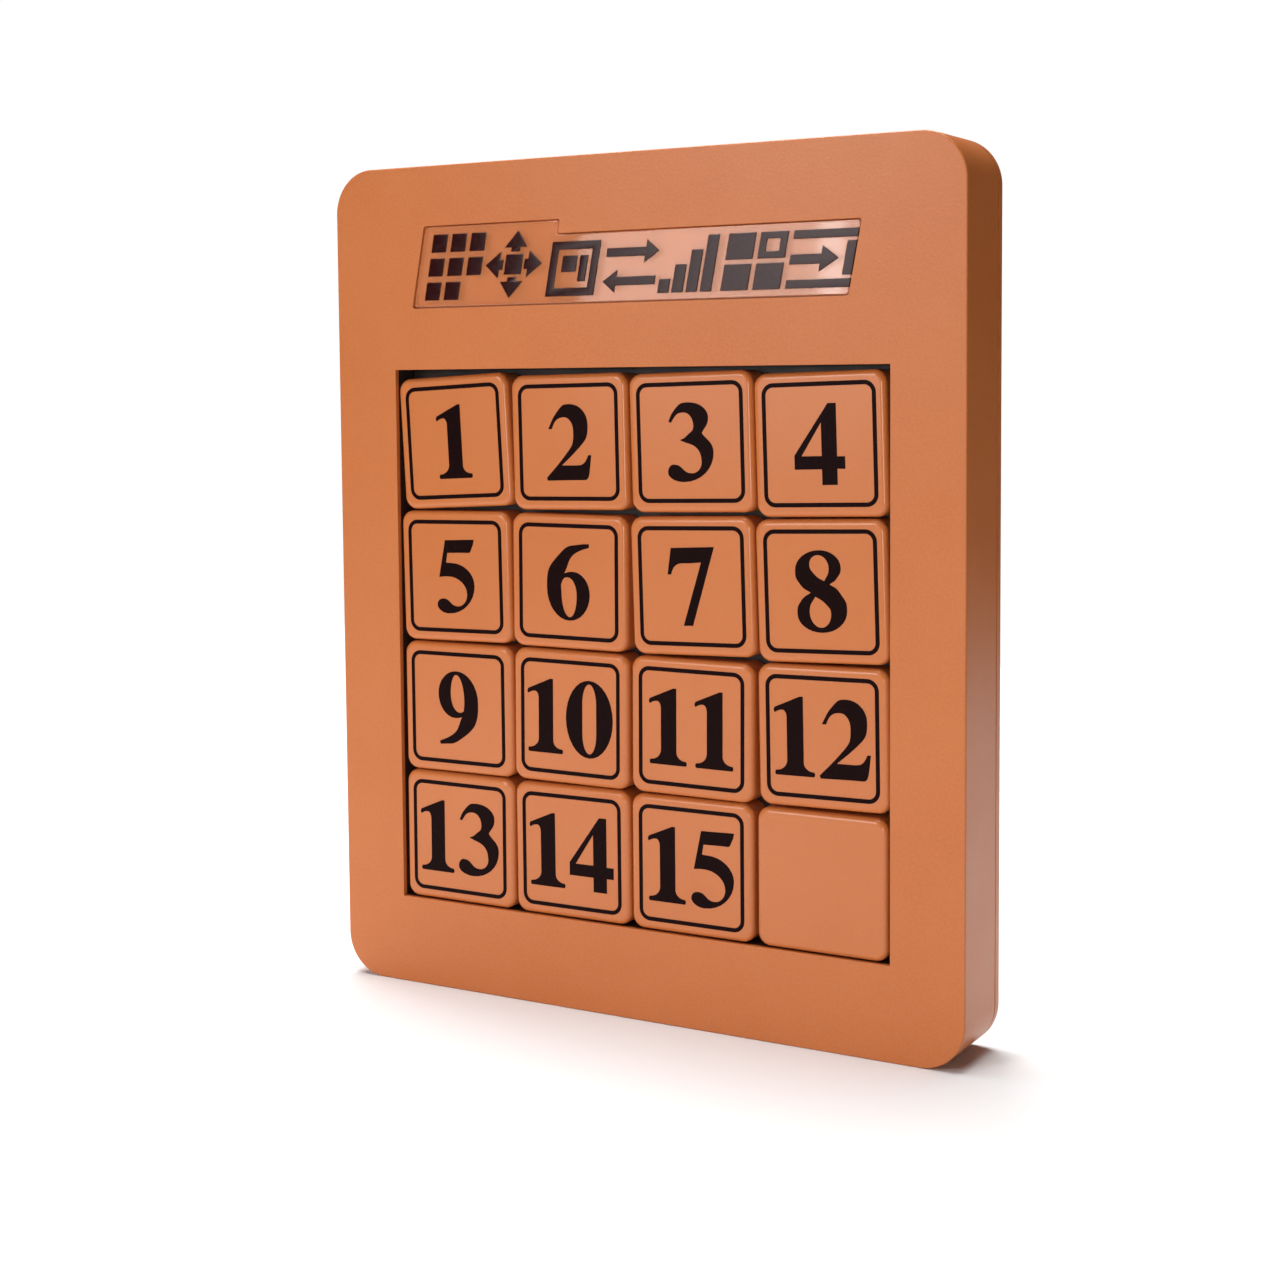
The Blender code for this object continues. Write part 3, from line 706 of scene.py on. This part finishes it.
def makeMark(name, start, width, height, loops):
    high = marks[height] / 10
    wide = width * mm / 10
    foot = marks["bottom"]
    slanted = [[(start * mm + x * wide + lean * (foot + z * high), foot + z * high, kind)
                for x, z, kind in points] for points in loops]
    mesh = flatShape("mark_" + name, slanted, plaqueLow.y - marks["sunk"], marks["thickness"],
                     bevel=marks["edge"], centre=(0, plaqueLow.z), steps=1)
    piece = addPiece("mark_" + name, mesh, plaqueInk)
    keepFlatsFlat(piece)
    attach(piece, "case")


for drawing in markDrawings:
    makeMark(*drawing)
print("plaque and marks made")


# drawn 100 units high. Each outline point is (x, height, run): h and v run level and upright, c is a corner,
# a runs towards its neighbours, and a number is the way it runs in degrees
numerals = {
    "0": (71, [[(35.5, 101, "h"), (71.3, 50, "v"), (35.5, -1, "h"), (0, 50, "v")],
               [(35.8, 96.2, "h"), (46.2, 70, "v"), (46.2, 30, "v"), (35.8, 4.5, "h"), (25.2, 30, "v"),
                (25.2, 70, "v")]]),
    "1": (54.5, [[(35, 99.5, "c"), (39.5, 99.5, "c"), (39.5, 18, "v"), (52.5, 7, "h"), (54.5, 4, "v"),
                  (52.5, 1, "h"), (2.5, 1, "h"), (0.5, 4, "v"), (2.5, 7, "h"), (17, 20, "v"), (17, 73, "v"),
                  (11.5, 82, "h"), (0.5, 78.5, "c"), (-0.6, 82, "c"), (0.8, 85, "c")]]),
    "2": (69, [[(4.5, 67.5, "c"), (19, 90, 48), (37.6, 99.2, "h"), (64.5, 73, "v"), (50, 42, 223),
                (24, 20, "c"), (48, 20, "h"), (64, 32.5, 68), (69, 33, "c"), (65.5, 9, -100), (59, 1, "h"),
                (2, 0.3, "c"), (0.8, 4, "c"), (30, 33.5, 48), (42.6, 64, "v"), (29, 82.3, "h"),
                (10.5, 67.8, 250)]]),
    "3": (66, [[(3, 76.5, "c"), (11.6, 90.6, 48), (32.2, 100, "h"), (59.7, 81, "v"), (50.3, 61.3, "c"),
                (66.2, 37, "v"), (24, 0.5, "h"), (0.8, 12.5, "v"), (9, 22.6, "h"), (35, 11.3, "h"),
                (49, 25, "v"), (31, 48.7, 165), (18.5, 53, "c"), (28, 57.7, "a"), (38.5, 71, "v"),
                (25, 87.5, "h"), (6.8, 75, 235)]]),
    "4": (67.5, [[(46, 99.5, "c"), (57, 99.5, "c"), (57, 35.3, "c"), (67.5, 35.3, "c"), (67.5, 20.3, "c"),
                  (57, 20.3, "c"), (57, 1, "c"), (36.6, 1, "c"), (36.6, 20, "c"), (0.3, 20, "c"),
                  (0.3, 37, "c")], [(36.6, 76.5, "c"), (36.6, 36, "c"), (9.8, 36, "c")]]),
    "5": (63, [[(16, 98.5, "c"), (63, 99.8, "c"), (60, 90, "a"), (54, 82, "h"), (19.4, 81.5, "c"),
                (17, 68.4, "c"), (25, 68, "h"), (62.4, 38, "v"), (20, -0.3, "h"), (1.2, 11.5, "v"),
                (10.5, 19.8, "h"), (34.5, 9.6, "h"), (50, 26, "v"), (20, 49.8, "h"), (5.2, 48.8, "c")]]),
    "6": (66, [[(65.1, 100.3, "c"), (65.1, 95.5, "c"), (47.4, 89.4, 205), (27.3, 61.2, "c"), (40, 63.5, "h"),
                (65.9, 34, "v"), (34.6, -0.5, "h"), (0.5, 42, "v"), (20, 86, 45), (52.3, 99.4, 8)],
               [(32.5, 56, "h"), (46.1, 32, "v"), (35.4, 4, "h"), (22.8, 36, "v"), (24, 50.5, "a")]]),
    "7": (67.5, [[(5.7, 98.3, "c"), (67.5, 99.8, "c"), (34.8, 0.3, "c"), (21.4, 0, "c"), (48.5, 80.2, "c"),
                  (22, 79, "h"), (5.5, 65, 255), (0.3, 64.7, "c")]]),
    "8": (69, [[(34, 100.5, "h"), (62, 79.5, "v"), (56, 66, "a"), (46.8, 59.2, "c"), (60, 49, "a"),
                (69, 27, "v"), (35, 0, "h"), (2.7, 22.5, "v"), (8, 38.5, "a"), (21.2, 48.6, "c"),
                (7, 59, "a"), (1.1, 76, "v")],
               [(32, 94.5, "h"), (46, 78.5, "v"), (39.7, 62.8, "c"), (27, 71, "a"), (20.4, 84, "v")],
               [(27.2, 44, "c"), (41.5, 34.5, "a"), (47.7, 22.5, "v"), (34.4, 6.1, "h"), (19.1, 25.8, "v")]]),
    "9": (66, [[(31, 100.3, "h"), (66.1, 58, "v"), (36.8, 8.1, 213), (4.7, -0.3, 188), (2.6, 1.6, "c"),
                (2.6, 4, "c"), (22.3, 12.9, 30), (39.5, 38.3, "c"), (28, 36.7, "h"), (1.4, 69, "v")],
               [(30.7, 95.3, "h"), (43.6, 60, "v"), (42.4, 46.5, "c"), (36, 44.3, "h"), (21.5, 69, "v")]]),
}


tile = {
    "side": 22.7 * mm, "corner": 2.2 * mm, "edge": 1.0 * mm, "wall": 1.4 * mm, "face": 1.6 * mm,
    "collarRadius": 5.3 * mm, "collarBore": 4.3 * mm, "collarGap": 1.5 * mm,
}
ink = {
    "ringSide": 19.55 * mm, "ringLine": 0.70 * mm, "ringCorner": 1.95 * mm, "height": 12.9 * mm,
    "gap": 0.85 * mm, "gaps": {"10": 0.6 * mm, "11": 1.5 * mm, "12": 0.7 * mm},
    "thickness": 0.03 * mm, "sunk": 0.01 * mm,
}


def turnOf(node):
    # how far a tile has turned to the left, from the largest upright face of its base
    upright = [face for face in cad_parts[node].data.polygons if abs(face.normal.y) < 0.01]
    side = max(upright, key=lambda face: face.area).normal
    return (atan2(side.z, side.x) + pi / 4) % (pi / 2) - pi / 4


def capMesh(name):
    low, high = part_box(name)
    half, depth, wall = tile["side"] / 2, high.y - low.y, tile["wall"]
    cap = addPiece(name, roundedBlock(name, (-half, 0, -half), (half, depth, half),
                                      tile["corner"], 10, tile["edge"], 6))
    inner = half - wall
    cavity = roundedBlock("cavity", (-inner, tile["face"], -inner), (inner, depth + overcut, inner),
                          tile["corner"] - wall, 4)
    collarEnd = depth - tile["collarGap"]
    combine(cap, ("DIFFERENCE", cavity),
            ("UNION", turnedPost("collar", 0, 0, tile["collarRadius"], tile["face"] / 2, collarEnd)),
            ("DIFFERENCE", turnedPost("bore", 0, 0, tile["collarBore"], tile["face"], depth + overcut)))
    smoothShade(cap.data, 25)
    mesh = cap.data
    bpy.data.objects.remove(cap, do_unlink=True)
    return mesh


def printLoops(label):
    outer = roundedSquare(ink["ringSide"], ink["ringCorner"])
    inner = roundedSquare(ink["ringSide"] - 2 * ink["ringLine"], ink["ringCorner"] - ink["ringLine"])
    unit = ink["height"] / 100
    digits = label.lstrip("0")
    gap = ink["gaps"].get(digits, ink["gap"]) * (len(digits) - 1)
    cursor = -(sum(numerals[digit][0] * unit for digit in digits) + gap) / 2
    loops = [outer, inner]
    for digit in digits:
        width, outlines = numerals[digit]
        loops += [[(cursor + x * unit, (z - 50) * unit, run) for x, z, run in points] for points in outlines]
        cursor += width * unit + gap
    return loops


def makeTile(label, mesh):
    body = f"tile_{label}"
    low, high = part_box(body + "_cap")
    centre = ((low.x + high.x) / 2, (low.z + high.z) / 2)
    turn = turnOf(body + "_base")
    shape = mesh.copy()
    shape.transform(Matrix.Translation((centre[0], low.y, centre[1])) @ Matrix.Rotation(-turn, 4, "Y"))
    cap = addPiece(f"{body}_face", shape, tilePlastic)
    keepFlatsFlat(cap)
    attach(cap, body)
    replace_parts(cap, body + "_cap")
    if label == "blank":
        return
    front = low.y - ink["thickness"] + ink["sunk"]
    paint = flatShape(f"{body}_print", printLoops(label), front, ink["thickness"], turn=turn, centre=centre)
    piece = addPiece(f"{body}_print", paint, tileInk)
    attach(piece, body)


tileLabels = [f"{number:02d}" for number in range(1, 16)] + ["blank"]
tileMesh = capMesh("tile_blank_cap")
for label in tileLabels:
    makeTile(label, tileMesh)
print("tiles and numerals made")


keptFinishes = {"_base": tileBackPlastic, "_magnet": magnetNickel, "tray_floor": slidingSheet,
                "steel_plate": plateSteel}
for name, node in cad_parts.items():
    for ending, material in keptFinishes.items():
        if name.endswith(ending):
            for place in node.material_slots:
                place.material = material


studio = {
    "floorLow": (-0.66, -0.48), "floorHigh": (0.30, 0.42), "floorColour": (0.92, 0.92, 0.92, 1),
    "fill": 0.06, "farSide": 0.01, "background": 1.02,
    "aim": (0, 0, 0.07),
}
studioLights = {
    "key": {"place": (-0.28, -0.72, 0.44), "size": (0.26, 0.26), "power": 1.75},
    "glare": {"place": (-0.30, -0.72, 0.23), "size": (0.26, 0.34), "power": 0.85},
    "top": {"place": (-0.15, 0.14, 1.12), "size": (0.7, 1.0), "power": 22},
    "sideStrip": {"place": (0.36, -0.98, 0.12), "size": (0.14, 0.24), "power": 2.2},
    "plaqueStrip": {"place": (-0.299, -0.74, 0.188), "size": (0.014, 0.09), "power": 0.017},
}


def makeFloor():
    shape = bmesh.new()
    bmesh.ops.create_grid(shape, x_segments=1, y_segments=1, size=0.5)
    low, high = Vector((*studio["floorLow"], 0)), Vector((*studio["floorHigh"], 0))
    bmesh.ops.scale(shape, vec=high - low, verts=shape.verts)
    bmesh.ops.translate(shape, vec=(low + high) / 2, verts=shape.verts)
    material, wire = newMaterial("paleFloor")
    where = wire.node("TexCoord", output=3)
    putOut(wire, wire.node("BsdfPrincipled", {}, {
        "Base Color": studio["floorColour"],
        "Roughness": 0.7 + wire.noise(where, 20 * mm, 2.0) * 0.1, "Specular IOR Level": 0.2}))
    floor = addPiece("floor", meshFrom("floor", shape), material)


def softBox(name, look):
    lamp = bpy.data.lights.new(name, "AREA")
    lamp.shape = "RECTANGLE"
    lamp.size, lamp.size_y = look["size"]
    lamp.energy = look["power"]
    box = bpy.data.objects.new(name, lamp)
    box.location = look["place"]
    box.rotation_euler = (Vector(studio["aim"]) - Vector(look["place"])).to_track_quat("-Z", "Y").to_euler()
    box.visible_camera = False
    bpy.context.scene.collection.objects.link(box)


def makeSky():
    # a soft fill, darker towards the right; only the camera sees the white background
    world = bpy.data.worlds.new("studio")
    world.use_nodes = True
    world.node_tree.nodes.clear()
    wire = Wire(world.node_tree)
    way = wire.node("TexCoord", output=0)
    across = wire.node("SeparateXYZ", {}, {"Vector": way}, 0)
    fill, far = studio["fill"], studio["farSide"]
    shade = across.between(-0.1, 0.3).blend((fill, fill, fill, 1), (far, far, far, 1))
    light = wire.node("Background", {}, {"Color": shade, "Strength": 1.0})
    paper = wire.node("Background", {}, {"Color": (1, 1, 1, 1), "Strength": studio["background"]})
    seen = wire.node("LightPath", output=0)
    wire.node("OutputWorld", {}, {"Surface": wire.node("MixShader", {}, {0: seen, 1: light, 2: paper})})
    bpy.context.scene.world = world


camera = {
    "place": (0.17001, -0.29739, 0.10611), "turn": (85.881, 0.459, 29.992), "lens": 57.688,
    "shiftUp": -0.0859, "sensor": 36, "clip": (0.01, 50),
}


def makeCamera():
    lens = bpy.data.cameras.new("camera")
    lens.lens, lens.sensor_width, lens.shift_y = camera["lens"], camera["sensor"], camera["shiftUp"]
    lens.clip_start, lens.clip_end = camera["clip"]
    viewer = bpy.data.objects.new("camera", lens)
    viewer.location = camera["place"]
    viewer.rotation_euler = [radians(turn) for turn in camera["turn"]]
    bpy.context.scene.collection.objects.link(viewer)
    bpy.context.scene.camera = viewer


makeFloor()
for name, look in studioLights.items():
    softBox(name, look)
makeSky()
makeCamera()
bpy.context.scene.view_settings.view_transform = "Standard"
print("studio made")
